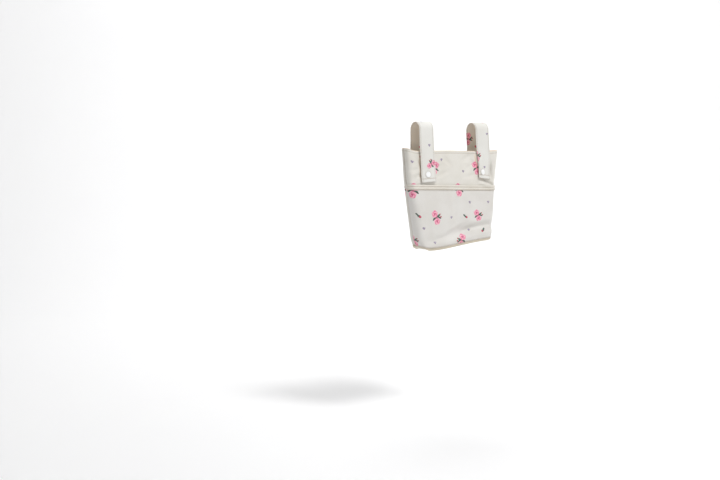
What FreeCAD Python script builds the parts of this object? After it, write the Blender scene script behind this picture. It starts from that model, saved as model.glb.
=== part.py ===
"""Doll's-pram changing bag: a small soft tote hung from a round handlebar by two snap straps.

Frame: X runs along the handlebar, the bag's front faces -Y and +Z is up. The origin is on the
handlebar's axis, midway between the two strap loops. All lengths are millimetres.
"""
import FreeCAD, Part
import os
import Sketcher

document = FreeCAD.newDocument("changing_bag")

# ---------------------------------------------------------------- driving dimensions
DIMENSIONS = [
    ("loop_radius", 15.0, "inside radius of a strap loop, which fits the foam handlebar"),
    ("strap_width", 36.0, "width of the folded strap"),
    ("strap_thickness", 1.8, "folded strap, two fabric layers and a fusible core"),
    ("strap_spacing", 148.0, "distance between the centres of the two straps"),
    ("strap_end_drop", 108.0, "handlebar axis down to the free end of a strap"),
    ("strap_tail_length", 38.0, "length of strap sewn down the back panel"),
    ("mouth_drop", 44.0, "handlebar axis down to the bag's mouth"),
    ("bag_height", 206.0, "mouth to the underside of the base"),
    ("mouth_width", 240.0, "width over the side seams at the mouth"),
    ("base_width", 200.0, "width over the side seams at the base"),
    ("base_depth", 46.0, "front to back at the base"),
    ("pocket_drop", 76.0, "mouth down to the patch pocket's top edge"),
    ("band_height", 8.5, "height of the band on the pocket's top edge"),
    ("facing_depth", 25.0, "depth of the facing turned in at the mouth"),
    ("panel_thickness", 0.8, "coated outer cotton"),
    ("interlining_thickness", 1.2, "thin wadding inside the panels"),
    ("lining_thickness", 0.5, "plain woven lining"),
    ("board_thickness", 1.5, "stiff board in the base"),
    ("piping_size", 4.5, "height and width of the corded edge round the base"),
    ("piping_round", 1.5, "rounding of the corded edge's outer corners"),
    ("snap_drop", 91.0, "handlebar axis down to the snaps"),
    ("snap_gap", 3.0, "closed snap: strap's inner face to the front panel"),
    ("cap_diameter", 12.0, "domed cap of the snap"),
    ("cap_height", 2.2, "height of the domed cap"),
    ("cap_rim", 0.8, "straight rim under the cap's dome"),
    ("pin_diameter", 2.0, "pin that rivets a cap through the fabric"),
    ("socket_diameter", 10.0, "outside of the snap's socket and stud flanges"),
    ("snap_clearance", 0.3, "gap between the closed socket and the stud's flange"),
    ("socket_bore", 4.8, "recess in the socket that takes the stud"),
    ("socket_floor", 0.5, "floor of the socket against the strap"),
    ("stud_flange", 0.7, "thickness of the stud's flange"),
    ("stud_diameter", 3.4, "head of the stud"),
    ("stud_reach_share", 0.3, "length of stud inside the closed socket, as a share of the snap gap"),
    ("inner_cap_height", 1.4, "height of the flat cap behind the stud"),
    ("joint_gap", 0.3, "clearance where a strap's moving lengths meet"),
]

dims = document.addObject("Spreadsheet::Sheet", "dims")
for row, (alias, value, meaning) in enumerate(DIMENSIONS, start=1):
    dims.set(f"A{row}", alias)
    dims.set(f"B{row}", str(value))
    dims.set(f"C{row}", meaning)
    dims.setAlias(f"B{row}", alias)
document.recompute()

# ---------------------------------------------------------------- lengths derived from the sheet
# Depth of the mouth: the back panel lies under the strap's back leg and the front panel lies one
# closed snap behind its front leg.
MOUTH_DEPTH = "(2 * dims.loop_radius - dims.snap_gap)"
# Middle of the bag, front to back: the plane that holds both side seams.
SEAM_Y = "(dims.snap_gap / 2)"
# Drops from the mouth down to each level where the body's section is set.
AT_MOUTH = "0"
AT_FACING_END = "dims.facing_depth"
AT_POCKET_TOP = "dims.pocket_drop"
AT_BAND_END = "(dims.pocket_drop + dims.band_height)"
AT_PIPING_TOP = "(dims.bag_height - dims.piping_size)"


def width_at(drop):
    """Outer width over the side seams at a drop below the mouth; the sides taper evenly."""
    return f"(dims.mouth_width - (dims.mouth_width - dims.base_width) * {drop} / dims.bag_height)"


def depth_at(drop):
    """Outer depth at a drop below the mouth; the bag only opens out below the pocket's top edge."""
    if drop in (AT_MOUTH, AT_FACING_END, AT_POCKET_TOP):
        return MOUTH_DEPTH
    below_pocket_top = f"({drop} - dims.pocket_drop) / (dims.bag_height - dims.pocket_drop)"
    return f"({MOUTH_DEPTH} + (dims.base_depth - {MOUTH_DEPTH}) * {below_pocket_top})"


# ---------------------------------------------------------------- sketch helpers
START, END, CENTRE = 1, 2, 3
SKETCH_ORIGIN = -1


def point(horizontal, vertical):
    return FreeCAD.Vector(horizontal, vertical, 0)


def number(expression):
    """Present value of an expression on the sheet, used to draw a sketch near its solved shape."""
    return float(dims.evalExpression(expression.replace("dims.", "")))


def new_body(name):
    body = document.addObject("PartDesign::Body", name)
    body.Label = name
    return body


def new_sketch(body, role, name):
    """Sketch on one of the body's own origin planes: XY_Plane, XZ_Plane or YZ_Plane."""
    sketch = body.newObject("Sketcher::SketchObject", name)
    plane = [feature for feature in body.Origin.OriginFeatures if feature.Role == role][0]
    sketch.AttachmentSupport = (plane, [""])
    sketch.MapMode = "FlatFace"
    return sketch


def bind(sketch, kind, *arguments):
    """Add one dimension to a sketch; the last argument is the expression that drives it."""
    *geometry, expression = arguments
    index = sketch.addConstraint(Sketcher.Constraint(kind, *geometry, number(expression)))
    sketch.setExpression(f"Constraints[{index}]", expression)


def place_point(sketch, geometry, position, horizontal, vertical):
    """Hold one point of the geometry at driven coordinates."""
    for kind, expression in (("DistanceX", horizontal), ("DistanceY", vertical)):
        bind(sketch, kind, SKETCH_ORIGIN, START, geometry, position, expression)


def polygon(sketch, corners):
    """Closed outline through corners given as pairs of expressions."""
    first = sketch.GeometryCount
    spots = [point(number(across), number(up)) for across, up in corners]
    for index, spot in enumerate(spots):
        following = spots[(index + 1) % len(spots)]
        sketch.addGeometry(Part.LineSegment(spot, following))
    for index, (across, up) in enumerate(corners):
        following = (index + 1) % len(corners)
        sketch.addConstraint(
            Sketcher.Constraint("Coincident", first + index, END, first + following, START)
        )
        place_point(sketch, first + index, START, across, up)


def circle(sketch, across, up, diameter):
    index = sketch.addGeometry(
        Part.Circle(point(number(across), number(up)), FreeCAD.Vector(0, 0, 1), number(diameter) / 2)
    )
    place_point(sketch, index, CENTRE, across, up)
    bind(sketch, "Diameter", index, diameter)


QUARTER = 1.5707963267948966


def arc(centre, radius, start_quarters, end_quarters):
    full = Part.Circle(centre, FreeCAD.Vector(0, 0, 1), radius)
    return Part.ArcOfCircle(full, start_quarters * QUARTER, end_quarters * QUARTER)


def join(sketch, pairs):
    for (first, first_end), (second, second_end) in pairs:
        sketch.addConstraint(Sketcher.Constraint("Coincident", first, first_end, second, second_end))


def half_stadium(sketch, front, width, depth, inset, thickness):
    """One fabric layer's section: a thin U that runs from one side seam round to the other.

    The U is open towards the seam plane. inset is how far the layer's outer face lies inside the
    body's outline; a layer on the outside has a negative inset.
    """
    side = -1 if front else 1
    run = f"({width} / 2 - {depth} / 2)"
    outer = f"({depth} / 2 - {inset})"
    inner = f"({depth} / 2 - {inset} - {thickness})"
    seam_y = number(SEAM_Y)
    left = point(-number(run), seam_y)
    right = point(number(run), seam_y)
    left_quarters, right_quarters = ((2, 3), (3, 4)) if front else ((1, 2), (0, 1))
    # An arc runs anticlockwise: these say which end of each arc lies on the seam plane.
    left_seam, right_seam = (START, END) if front else (END, START)
    left_far, right_far = (END, START) if front else (START, END)
    outer_left, outer_line, outer_right, inner_left, inner_line, inner_right, seam_left, seam_right = range(8)
    for radius_expression in (outer, inner):
        radius = number(radius_expression)
        far = FreeCAD.Vector(0, side * radius, 0)
        sketch.addGeometry(arc(left, radius, *left_quarters))
        sketch.addGeometry(Part.LineSegment(left + far, right + far))
        sketch.addGeometry(arc(right, radius, *right_quarters))
    for centre, direction in ((left, -1), (right, 1)):
        outer_end = centre + FreeCAD.Vector(direction * number(outer), 0, 0)
        inner_end = centre + FreeCAD.Vector(direction * number(inner), 0, 0)
        sketch.addGeometry(Part.LineSegment(outer_end, inner_end))
    join(sketch, [
        ((outer_left, left_far), (outer_line, START)),
        ((outer_line, END), (outer_right, right_far)),
        ((inner_left, left_far), (inner_line, START)),
        ((inner_line, END), (inner_right, right_far)),
        ((seam_left, START), (outer_left, left_seam)),
        ((seam_left, END), (inner_left, left_seam)),
        ((seam_right, START), (outer_right, right_seam)),
        ((seam_right, END), (inner_right, right_seam)),
        ((inner_left, CENTRE), (outer_left, CENTRE)),
        ((inner_right, CENTRE), (outer_right, CENTRE)),
    ])
    place_point(sketch, outer_left, CENTRE, f"-{run}", SEAM_Y)
    place_point(sketch, outer_right, CENTRE, run, SEAM_Y)
    bind(sketch, "Radius", outer_left, outer)
    bind(sketch, "Radius", inner_left, inner)
    for line in (outer_line, inner_line, seam_left, seam_right):
        sketch.addConstraint(Sketcher.Constraint("Horizontal", line))
    for left_arc, far_end in ((outer_left, left_far), (inner_left, left_far)):
        sketch.addConstraint(Sketcher.Constraint("Vertical", left_arc, far_end, left_arc, CENTRE))
    for right_arc, far_end in ((outer_right, right_far), (inner_right, right_far)):
        sketch.addConstraint(Sketcher.Constraint("Vertical", right_arc, far_end, right_arc, CENTRE))
    sketch.addConstraint(Sketcher.Constraint("Horizontal", outer_left, left_seam, outer_left, CENTRE))
    sketch.addConstraint(Sketcher.Constraint("Horizontal", outer_right, right_seam, outer_right, CENTRE))


def stadium(sketch, width, depth, inset):
    """Full outline of the base: two straight runs closed by half circles."""
    run = f"({width} / 2 - {depth} / 2)"
    radius = f"({depth} / 2 - {inset})"
    seam_y = number(SEAM_Y)
    left = point(-number(run), seam_y)
    right = point(number(run), seam_y)
    far = FreeCAD.Vector(0, number(radius), 0)
    left_arc, front_line, right_arc, back_line = range(4)
    sketch.addGeometry(arc(left, number(radius), 1, 3))
    sketch.addGeometry(Part.LineSegment(left - far, right - far))
    sketch.addGeometry(arc(right, number(radius), 3, 5))
    sketch.addGeometry(Part.LineSegment(right + far, left + far))
    join(sketch, [
        ((left_arc, END), (front_line, START)),
        ((front_line, END), (right_arc, START)),
        ((right_arc, END), (back_line, START)),
        ((back_line, END), (left_arc, START)),
    ])
    place_point(sketch, left_arc, CENTRE, f"-{run}", SEAM_Y)
    place_point(sketch, right_arc, CENTRE, run, SEAM_Y)
    bind(sketch, "Radius", left_arc, radius)
    sketch.addConstraint(Sketcher.Constraint("Horizontal", front_line))
    for geometry, position in ((left_arc, START), (left_arc, END), (right_arc, START), (right_arc, END)):
        sketch.addConstraint(Sketcher.Constraint("Vertical", geometry, position, geometry, CENTRE))


# ---------------------------------------------------------------- soft body layers
def layer(name, front, levels, inset, thickness):
    """One fabric layer of the body, lofted straight between its sections from the top down."""
    body = new_body(name)
    sections = []
    for index, drop in enumerate(levels):
        sketch = new_sketch(body, "XY_Plane", f"{name}_section_{index}")
        sketch.setExpression("AttachmentOffset.Base.z", f"-(dims.mouth_drop + {drop})")
        half_stadium(sketch, front, width_at(drop), depth_at(drop), inset, thickness)
        sections.append(sketch)
    document.recompute()
    loft = body.newObject("PartDesign::AdditiveLoft", f"{name}_loft")
    loft.Profile = sections[0]
    loft.Sections = sections[1:]
    loft.Ruled = True
    document.recompute()
    return body


def pierce_for_snaps(body):
    """Holes for the two pins that rivet the snap studs to the front."""
    sketch = new_sketch(body, "XZ_Plane", f"{body.Name}_pin_holes")
    for side in ("-", ""):
        circle(sketch, f"{side}dims.strap_spacing / 2", "-dims.snap_drop", "dims.pin_diameter")
    document.recompute()
    whole = body.Shape.Volume
    pocket = body.newObject("PartDesign::Pocket", f"{body.Name}_pierced")
    pocket.Profile = sketch
    pocket.Type = "ThroughAll"
    pocket.SideType = "Two sides"
    pocket.Type2 = "ThroughAll"
    document.recompute()
    if body.Shape.Volume >= whole:
        raise RuntimeError(f"the pin holes missed {body.Name}")


BODY_LEVELS = [AT_MOUTH, AT_POCKET_TOP, AT_PIPING_TOP]
UNDER_PANEL = "dims.panel_thickness"
UNDER_INTERLINING = "(dims.panel_thickness + dims.interlining_thickness)"

for half, is_front in (("front", True), ("back", False)):
    layer(f"{half}_panel", is_front, BODY_LEVELS, "0", "dims.panel_thickness")
    layer(f"{half}_interlining", is_front, BODY_LEVELS, UNDER_PANEL, "dims.interlining_thickness")
    layer(
        f"{half}_facing", is_front, [AT_MOUTH, AT_FACING_END], UNDER_INTERLINING, "dims.panel_thickness"
    )
    layer(
        f"{half}_lining",
        is_front,
        [AT_FACING_END, AT_POCKET_TOP, AT_PIPING_TOP],
        UNDER_INTERLINING,
        "dims.lining_thickness",
    )

for pierced in ("front_panel", "front_interlining", "front_lining"):
    pierce_for_snaps(document.getObject(pierced))

# The patch pocket lies on the front panel, caught in both side seams and in the base seam.
POCKET_LEVELS = [AT_POCKET_TOP, AT_PIPING_TOP]
layer("pocket_lining", True, POCKET_LEVELS, "(-dims.lining_thickness)", "dims.lining_thickness")
layer(
    "pocket_panel",
    True,
    POCKET_LEVELS,
    "(-dims.lining_thickness - dims.panel_thickness)",
    "dims.panel_thickness",
)
layer(
    "pocket_band",
    True,
    [AT_POCKET_TOP, AT_BAND_END],
    "(-dims.lining_thickness - 2 * dims.panel_thickness)",
    "dims.panel_thickness",
)

# ---------------------------------------------------------------- base
BASE_WIDTH = width_at(AT_PIPING_TOP)
BASE_DEPTH = depth_at(AT_PIPING_TOP)


def base_plate(name, inset, height_above_underside, thickness):
    """Flat stadium-shaped layer of the base, padded up from its own height."""
    body = new_body(name)
    sketch = new_sketch(body, "XY_Plane", f"{name}_outline")
    sketch.setExpression(
        "AttachmentOffset.Base.z", f"-(dims.mouth_drop + dims.bag_height) + {height_above_underside}"
    )
    stadium(sketch, BASE_WIDTH, BASE_DEPTH, inset)
    document.recompute()
    pad = body.newObject("PartDesign::Pad", f"{name}_pad")
    pad.Profile = sketch
    pad.setExpression("Length", thickness)
    document.recompute()
    return body


INSIDE_PIPING = "dims.piping_size"
base_plate("base_panel", INSIDE_PIPING, "0", "dims.panel_thickness")
base_plate("base_board", INSIDE_PIPING, "dims.panel_thickness", "dims.board_thickness")
base_plate(
    "base_lining",
    INSIDE_PIPING,
    "(dims.panel_thickness + dims.board_thickness)",
    "dims.lining_thickness",
)

# Corded edge: a full plate, opened in the middle for the base, its outer corners rounded.
piping = base_plate("base_piping", "0", "0", "dims.piping_size")
opening = new_sketch(piping, "XY_Plane", "base_piping_opening")
opening.setExpression("AttachmentOffset.Base.z", "-(dims.mouth_drop + dims.bag_height)")
stadium(opening, BASE_WIDTH, BASE_DEPTH, INSIDE_PIPING)
document.recompute()
full_plate = piping.Shape.Volume
ring = piping.newObject("PartDesign::Pocket", "base_piping_ring")
ring.Profile = opening
ring.Reversed = True
ring.setExpression("Length", "dims.piping_size")
document.recompute()
if piping.Shape.Volume >= full_plate:
    raise RuntimeError("the base piping was not opened in the middle")


def on_outline(edge):
    """True for the ring's outer top and bottom edges, at the full width or the full depth."""
    box = edge.BoundBox
    flat = box.ZLength < dims.piping_round / 2
    half_depth = number(BASE_DEPTH) / 2
    inner_half_depth = half_depth - dims.piping_size
    reach = max(abs(box.YMin - number(SEAM_Y)), abs(box.YMax - number(SEAM_Y)))
    return flat and reach > (half_depth + inner_half_depth) / 2


outer_edges = [
    f"Edge{index}" for index, edge in enumerate(ring.Shape.Edges, start=1) if on_outline(edge)
]
rounding = piping.newObject("PartDesign::Fillet", "base_piping_round")
rounding.Base = (ring, outer_edges)
rounding.setExpression("Radius", "dims.piping_round")
document.recompute()

# ---------------------------------------------------------------- straps and snaps
STRAP_INSIDE = "dims.loop_radius"
STRAP_OUTSIDE = "(dims.loop_radius + dims.strap_thickness)"


def place_at_strap(body, sign, drop=None):
    """Centre a body on one strap, lowered to a drop below the handlebar where one is given."""
    body.setExpression("Placement.Base.x", f"{sign}dims.strap_spacing / 2")
    if drop:
        body.setExpression("Placement.Base.z", f"-{drop}")


def strap_length(name, sign, draw):
    """Length of strap whose side view is drawn by draw, padded evenly to the strap's width."""
    body = new_body(name)
    sketch = new_sketch(body, "YZ_Plane", f"{name}_side_view")
    draw(sketch)
    document.recompute()
    pad = body.newObject("PartDesign::Pad", f"{name}_pad")
    pad.Profile = sketch
    pad.Midplane = True
    pad.setExpression("Length", "dims.strap_width")
    document.recompute()
    place_at_strap(body, sign)
    return body


def draw_tail(sketch):
    """Sewn end, flat on the outside of the back panel below the mouth."""
    top = "-dims.mouth_drop"
    bottom = "-(dims.mouth_drop + dims.strap_tail_length)"
    polygon(sketch, [
        (STRAP_INSIDE, top), (STRAP_INSIDE, bottom), (STRAP_OUTSIDE, bottom), (STRAP_OUTSIDE, top),
    ])


def draw_loop(sketch):
    """Back leg from the mouth up to the handlebar and the half turn over it."""
    inside, outside = number(STRAP_INSIDE), number(STRAP_OUTSIDE)
    foot = number("-dims.mouth_drop + dims.joint_gap")
    inner_leg, inner_turn, front_end, outer_turn, outer_leg, back_end = range(6)
    sketch.addGeometry(Part.LineSegment(point(inside, foot), point(inside, 0)))
    sketch.addGeometry(arc(point(0, 0), inside, 0, 2))
    sketch.addGeometry(Part.LineSegment(point(-inside, 0), point(-outside, 0)))
    sketch.addGeometry(arc(point(0, 0), outside, 0, 2))
    sketch.addGeometry(Part.LineSegment(point(outside, 0), point(outside, foot)))
    sketch.addGeometry(Part.LineSegment(point(outside, foot), point(inside, foot)))
    join(sketch, [
        ((inner_leg, END), (inner_turn, START)),
        ((inner_turn, END), (front_end, START)),
        ((front_end, END), (outer_turn, END)),
        ((outer_turn, START), (outer_leg, START)),
        ((outer_leg, END), (back_end, START)),
        ((back_end, END), (inner_leg, START)),
    ])
    sketch.addConstraint(
        Sketcher.Constraint("Coincident", inner_turn, CENTRE, SKETCH_ORIGIN, START)
    )
    sketch.addConstraint(
        Sketcher.Constraint("Coincident", outer_turn, CENTRE, SKETCH_ORIGIN, START)
    )
    bind(sketch, "Radius", inner_turn, STRAP_INSIDE)
    bind(sketch, "Radius", outer_turn, STRAP_OUTSIDE)
    for leg in (inner_leg, outer_leg):
        sketch.addConstraint(Sketcher.Constraint("Vertical", leg))
    sketch.addConstraint(Sketcher.Constraint("Horizontal", back_end))
    bind(sketch, "DistanceY", SKETCH_ORIGIN, START, back_end, START, "-dims.mouth_drop + dims.joint_gap")
    sketch.addConstraint(Sketcher.Constraint("Horizontal", inner_leg, END, SKETCH_ORIGIN, START))
    sketch.addConstraint(Sketcher.Constraint("Horizontal", outer_leg, START, SKETCH_ORIGIN, START))
    sketch.addConstraint(Sketcher.Constraint("Horizontal", front_end, START, SKETCH_ORIGIN, START))
    sketch.addConstraint(Sketcher.Constraint("Horizontal", front_end, END, SKETCH_ORIGIN, START))


def draw_front(sketch):
    """Front leg, hanging from the handlebar's front down past the snap."""
    top = "-dims.joint_gap"
    bottom = "-dims.strap_end_drop"
    polygon(sketch, [
        (f"-{STRAP_OUTSIDE}", top),
        (f"-{STRAP_OUTSIDE}", bottom),
        (f"-{STRAP_INSIDE}", bottom),
        (f"-{STRAP_INSIDE}", top),
    ])


def turned(name, sign, outline):
    """Round part of a snap: a half outline (radius, y) turned about the snap's own axis."""
    body = new_body(name)
    sketch = new_sketch(body, "XY_Plane", f"{name}_half_outline")
    polygon(sketch, outline)
    document.recompute()
    revolution = body.newObject("PartDesign::Revolution", f"{name}_turned")
    revolution.Profile = sketch
    revolution.ReferenceAxis = (sketch, ["V_Axis"])
    revolution.Angle = 360.0
    document.recompute()
    place_at_strap(body, sign, "dims.snap_drop")
    return body


CAP_R = "dims.cap_diameter / 2"
DOME_EDGE_R = "dims.cap_diameter * 0.4"
PIN_R = "dims.pin_diameter / 2"
SOCKET_R = "dims.socket_diameter / 2"
BORE_R = "dims.socket_bore / 2"
STUD_R = "dims.stud_diameter / 2"
PANEL_FACE = "(-(dims.loop_radius - dims.snap_gap))"
INSIDE_BAG = (
    f"({PANEL_FACE} + dims.panel_thickness + dims.interlining_thickness + dims.lining_thickness)"
)
SOCKET_FLOOR = f"(-{STRAP_INSIDE} + dims.socket_floor)"
STUD_FACE = f"({PANEL_FACE} - dims.stud_flange)"
SOCKET_FACE = f"({STUD_FACE} - dims.snap_clearance)"
STUD_TIP = f"({SOCKET_FACE} - dims.stud_reach_share * dims.snap_gap)"

for side_name, sign in (("left", "-"), ("right", "")):
    strap_length(f"{side_name}_strap_tail", sign, draw_tail)
    strap_length(f"{side_name}_strap_loop", sign, draw_loop)
    front_leg = strap_length(f"{side_name}_strap_front", sign, draw_front)

    pin_hole = new_sketch(front_leg, "XZ_Plane", f"{side_name}_strap_pin_hole")
    circle(pin_hole, "0", "-dims.snap_drop", "dims.pin_diameter")
    document.recompute()
    uncut = front_leg.Shape.Volume
    cut = front_leg.newObject("PartDesign::Pocket", f"{side_name}_strap_pierced")
    cut.Profile = pin_hole
    cut.Type = "ThroughAll"
    cut.SideType = "Two sides"
    cut.Type2 = "ThroughAll"
    document.recompute()
    if front_leg.Shape.Volume >= uncut:
        raise RuntimeError(f"the pin hole missed {front_leg.Name}")

    # Domed cap outside the strap; its pin passes through the strap into the socket's floor.
    turned(f"{side_name}_snap_cap", sign, [
        ("0", f"-{STRAP_OUTSIDE} - dims.cap_height"),
        (DOME_EDGE_R, f"-{STRAP_OUTSIDE} - dims.cap_height * 0.8"),
        (CAP_R, f"-{STRAP_OUTSIDE} - dims.cap_rim"),
        (CAP_R, f"-{STRAP_OUTSIDE}"),
        (PIN_R, f"-{STRAP_OUTSIDE}"),
        (PIN_R, SOCKET_FLOOR),
        ("0", SOCKET_FLOOR),
    ])
    # Socket under the strap: a ring with a thin floor against the fabric.
    turned(f"{side_name}_snap_socket", sign, [
        (PIN_R, f"-{STRAP_INSIDE}"),
        (SOCKET_R, f"-{STRAP_INSIDE}"),
        (SOCKET_R, SOCKET_FACE),
        (BORE_R, SOCKET_FACE),
        (BORE_R, SOCKET_FLOOR),
        (PIN_R, SOCKET_FLOOR),
    ])
    # Stud on the front panel: a flange and the head that enters the socket.
    turned(f"{side_name}_snap_stud", sign, [
        (PIN_R, PANEL_FACE),
        (SOCKET_R, PANEL_FACE),
        (SOCKET_R, STUD_FACE),
        (STUD_R, STUD_FACE),
        (STUD_R, STUD_TIP),
        (PIN_R, STUD_TIP),
    ])
    # Flat cap inside the bag; its pin passes through the front's layers and fills the stud.
    turned(f"{side_name}_snap_stud_cap", sign, [
        ("0", STUD_TIP),
        (PIN_R, STUD_TIP),
        (PIN_R, INSIDE_BAG),
        (CAP_R, INSIDE_BAG),
        (CAP_R, f"{INSIDE_BAG} + dims.cap_rim"),
        (DOME_EDGE_R, f"{INSIDE_BAG} + dims.inner_cap_height"),
        ("0", f"{INSIDE_BAG} + dims.inner_cap_height"),
    ])

document.recompute()

# ---------------------------------------------------------------- check and export
os.makedirs("parts", exist_ok=True)
for item in document.Objects:
    if "Invalid" in item.State or "Error" in item.State:
        raise RuntimeError(f"{item.Name} is {item.State}")

nodes = [item for item in document.Objects if item.TypeId == "PartDesign::Body"]
for node in nodes:
    if node.Shape.isNull() or not node.Shape.isValid() or len(node.Shape.Solids) != 1:
        raise RuntimeError(f"{node.Label} is not one sound solid")
    node.Shape.exportStep(f"parts/{node.Label}.step")
    box = node.Shape.BoundBox
    print(
        f"{node.Label:24s} x {box.XMin:8.2f} {box.XMax:8.2f}  y {box.YMin:7.2f} {box.YMax:7.2f}"
        f"  z {box.ZMin:8.2f} {box.ZMax:8.2f}  volume {node.Shape.Volume:10.1f}"
    )
print(f"{len(nodes)} nodes")
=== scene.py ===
"""Looks of the doll's-pram changing bag: soft printed panels, patch pocket, straps and snaps.

Shapes are worked out in millimetres in the part's own frame and turned into metres when a mesh is
made. A point on the bag is given by t and drop: t runs once round the body, -1 to 1 over the front
from the left seam to the right one and 1 to 3 over the back, and drop is how far below the mouth
it is.
"""
import math
import bmesh
import bpy
import numpy as np
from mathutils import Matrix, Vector


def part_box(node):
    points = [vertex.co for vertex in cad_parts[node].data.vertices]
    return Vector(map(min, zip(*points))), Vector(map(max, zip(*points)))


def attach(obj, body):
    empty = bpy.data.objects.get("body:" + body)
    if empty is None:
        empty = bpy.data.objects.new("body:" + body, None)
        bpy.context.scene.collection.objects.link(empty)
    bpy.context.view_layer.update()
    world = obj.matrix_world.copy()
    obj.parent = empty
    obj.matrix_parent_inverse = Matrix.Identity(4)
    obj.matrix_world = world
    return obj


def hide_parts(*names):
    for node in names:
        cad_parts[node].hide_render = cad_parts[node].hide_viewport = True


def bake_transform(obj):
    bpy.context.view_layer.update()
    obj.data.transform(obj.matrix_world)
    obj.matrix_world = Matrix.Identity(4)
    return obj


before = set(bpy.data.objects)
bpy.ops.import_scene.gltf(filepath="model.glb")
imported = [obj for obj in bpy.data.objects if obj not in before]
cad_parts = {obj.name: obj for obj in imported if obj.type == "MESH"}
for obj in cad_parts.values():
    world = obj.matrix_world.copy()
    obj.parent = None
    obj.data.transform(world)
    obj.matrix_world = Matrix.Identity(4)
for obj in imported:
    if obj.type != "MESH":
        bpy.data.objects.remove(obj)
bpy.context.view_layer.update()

MM = 0.001

# ---- sizes of the frame
panel_low, panel_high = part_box("front_panel")
loop_low, loop_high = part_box("left_strap_loop")
MOUTH_Z = panel_high.z / MM
BAR_R = 15.0
STRAP_T = 1.8
STRAP_W = (loop_high.x - loop_low.x) / MM
STRAP_X = -(loop_high.x + loop_low.x) / 2 / MM
MOUTH_WIDTH = (panel_high.x - panel_low.x) / MM
BASE_WIDTH = 200.0
HEIGHT = 206.0
SNAP_GAP = 3.0
MOUTH_DEPTH = 2 * BAR_R - SNAP_GAP
BASE_DEPTH = 46.0
SEAM_Y = SNAP_GAP / 2
POCKET_DROP = 76.0
BAND_END = 84.5
PIPING_DROP = 201.5
SQUARENESS = 2.6
HALF_MOUTH = 120.0
BELLY_REACH = 125.0
HEM_DROP = 5.2
# a small step along t, to measure directions with
T_STEP = 0.004


def smooth(low, high, value):
    """0 below low, 1 above high, and an even ease between them."""
    share = np.clip((value - low) / (high - low), 0.0, 1.0)
    return share * share * (3.0 - 2.0 * share)


def hump(value, centre, width):
    return np.exp(-(((value - centre) / width) ** 2))


def unit(vector):
    return vector / np.linalg.norm(vector)


def full_turn(count):
    """Evenly spread angles of one whole turn."""
    return np.linspace(0, 2 * math.pi, count, endpoint=False)


def run_lengths(line):
    """Length along a line at each of its points."""
    return np.concatenate([[0], np.cumsum(np.linalg.norm(np.diff(line, axis=0), axis=1))])


# ---- the bag's soft shell
def half_width(drop):
    return (MOUTH_WIDTH - (MOUTH_WIDTH - BASE_WIDTH) * drop / HEIGHT) / 2


def half_depth(drop):
    below = np.clip(drop - POCKET_DROP, 0, None) / (HEIGHT - POCKET_DROP)
    return (MOUTH_DEPTH + (BASE_DEPTH - MOUTH_DEPTH) * below) / 2


def crease(x, drop, start, end, width):
    """Strength of a straight fold that runs between two (x, drop) points and fades at its ends."""
    (x0, d0), (x1, d1) = start, end
    along = ((x - x0) * (x1 - x0) + (drop - d0) * (d1 - d0)) / ((x1 - x0) ** 2 + (d1 - d0) ** 2)
    near = np.clip(along, 0, 1)
    away = np.hypot(x - (x0 + near * (x1 - x0)), drop - (d0 + near * (d1 - d0)))
    return np.exp(-((away / width) ** 2)) * (0.35 + 0.65 * np.sin(np.pi * near))


def undulation(x, drop, phase):
    """Broad, shallow waves of soft fabric, a fraction of a millimetre to a millimetre deep."""
    return (
        0.9 * np.sin(x / 23.0 + phase) * np.sin(drop / 41.0 + 0.7 * phase)
        + 0.45 * np.sin(x / 12.0 - drop / 27.0 + 2.1 * phase) * np.sin(drop / 33.0 + x / 60.0)
        + 0.3 * np.sin(drop / 10.5 + x / 31.0 + phase) * np.sin(x / 28.0 - 1.1 * phase)
    )


# Straight folds as (height, width, foot, reach), in millimetres, with their ends as (x, drop).
# First the cloth pulled round the snaps and across the upper panel.
PULLS = (
    ((-78, 50), (-100, 58)), ((-76, 42), (-98, 16)), ((-62, 46), (-30, 30)), ((60, 38), (38, 10)),
    ((58, 50), (30, 58)), ((-92, 40), (-112, 46)), ((20, 22), (50, 8)), ((-48, 58), (-14, 44)),
    ((26, 44), (52, 26)), ((-30, 12), (-6, 30)), ((-96, 60), (-110, 68)),
)
FRONT_FOLDS = tuple((-1.9, 4.5, foot, reach) for foot, reach in PULLS) + (
    # beside the right strap: an upright fold, then the pucker above the pocket and its lip
    (-4.8, 3.2, (98, 26), (100, 62)), (-4.6, 3.0, (78, 60), (108, 76)),
    (3.0, 4.5, (66, 68), (96, 78)),
    # ends of the long valley across the pocket, and a faint fold down the pocket's middle
    (-2.2, 6.0, (-24, 180), (30, 158)), (-2.0, 5.0, (-66, 190), (-26, 180)),
    (-1.3, 11.0, (-6, 80), (6, 156)),
)
BACK_FOLDS = (
    (0.8, 8.0, (-STRAP_X, 44), (-0.45 * STRAP_X, 96)),
    (0.8, 8.0, (STRAP_X, 44), (0.45 * STRAP_X, 96)),
    (-1.4, 10.0, (-40, 150), (84, 170)),
)


def folds(x, drop, table):
    return sum(height * crease(x, drop, foot, reach, width) for height, width, foot, reach in table)


def swell(x, drop, rise):
    """Rounded belly of a panel, with the pressed line of the hem's stitching."""
    belly = rise * np.sin(np.pi * np.clip(drop / HEIGHT, 0, 1)) * (1 - (np.abs(x) / BELLY_REACH) ** 4)
    return belly - 0.35 * hump(drop, HEM_DROP, 1.0)


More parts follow.
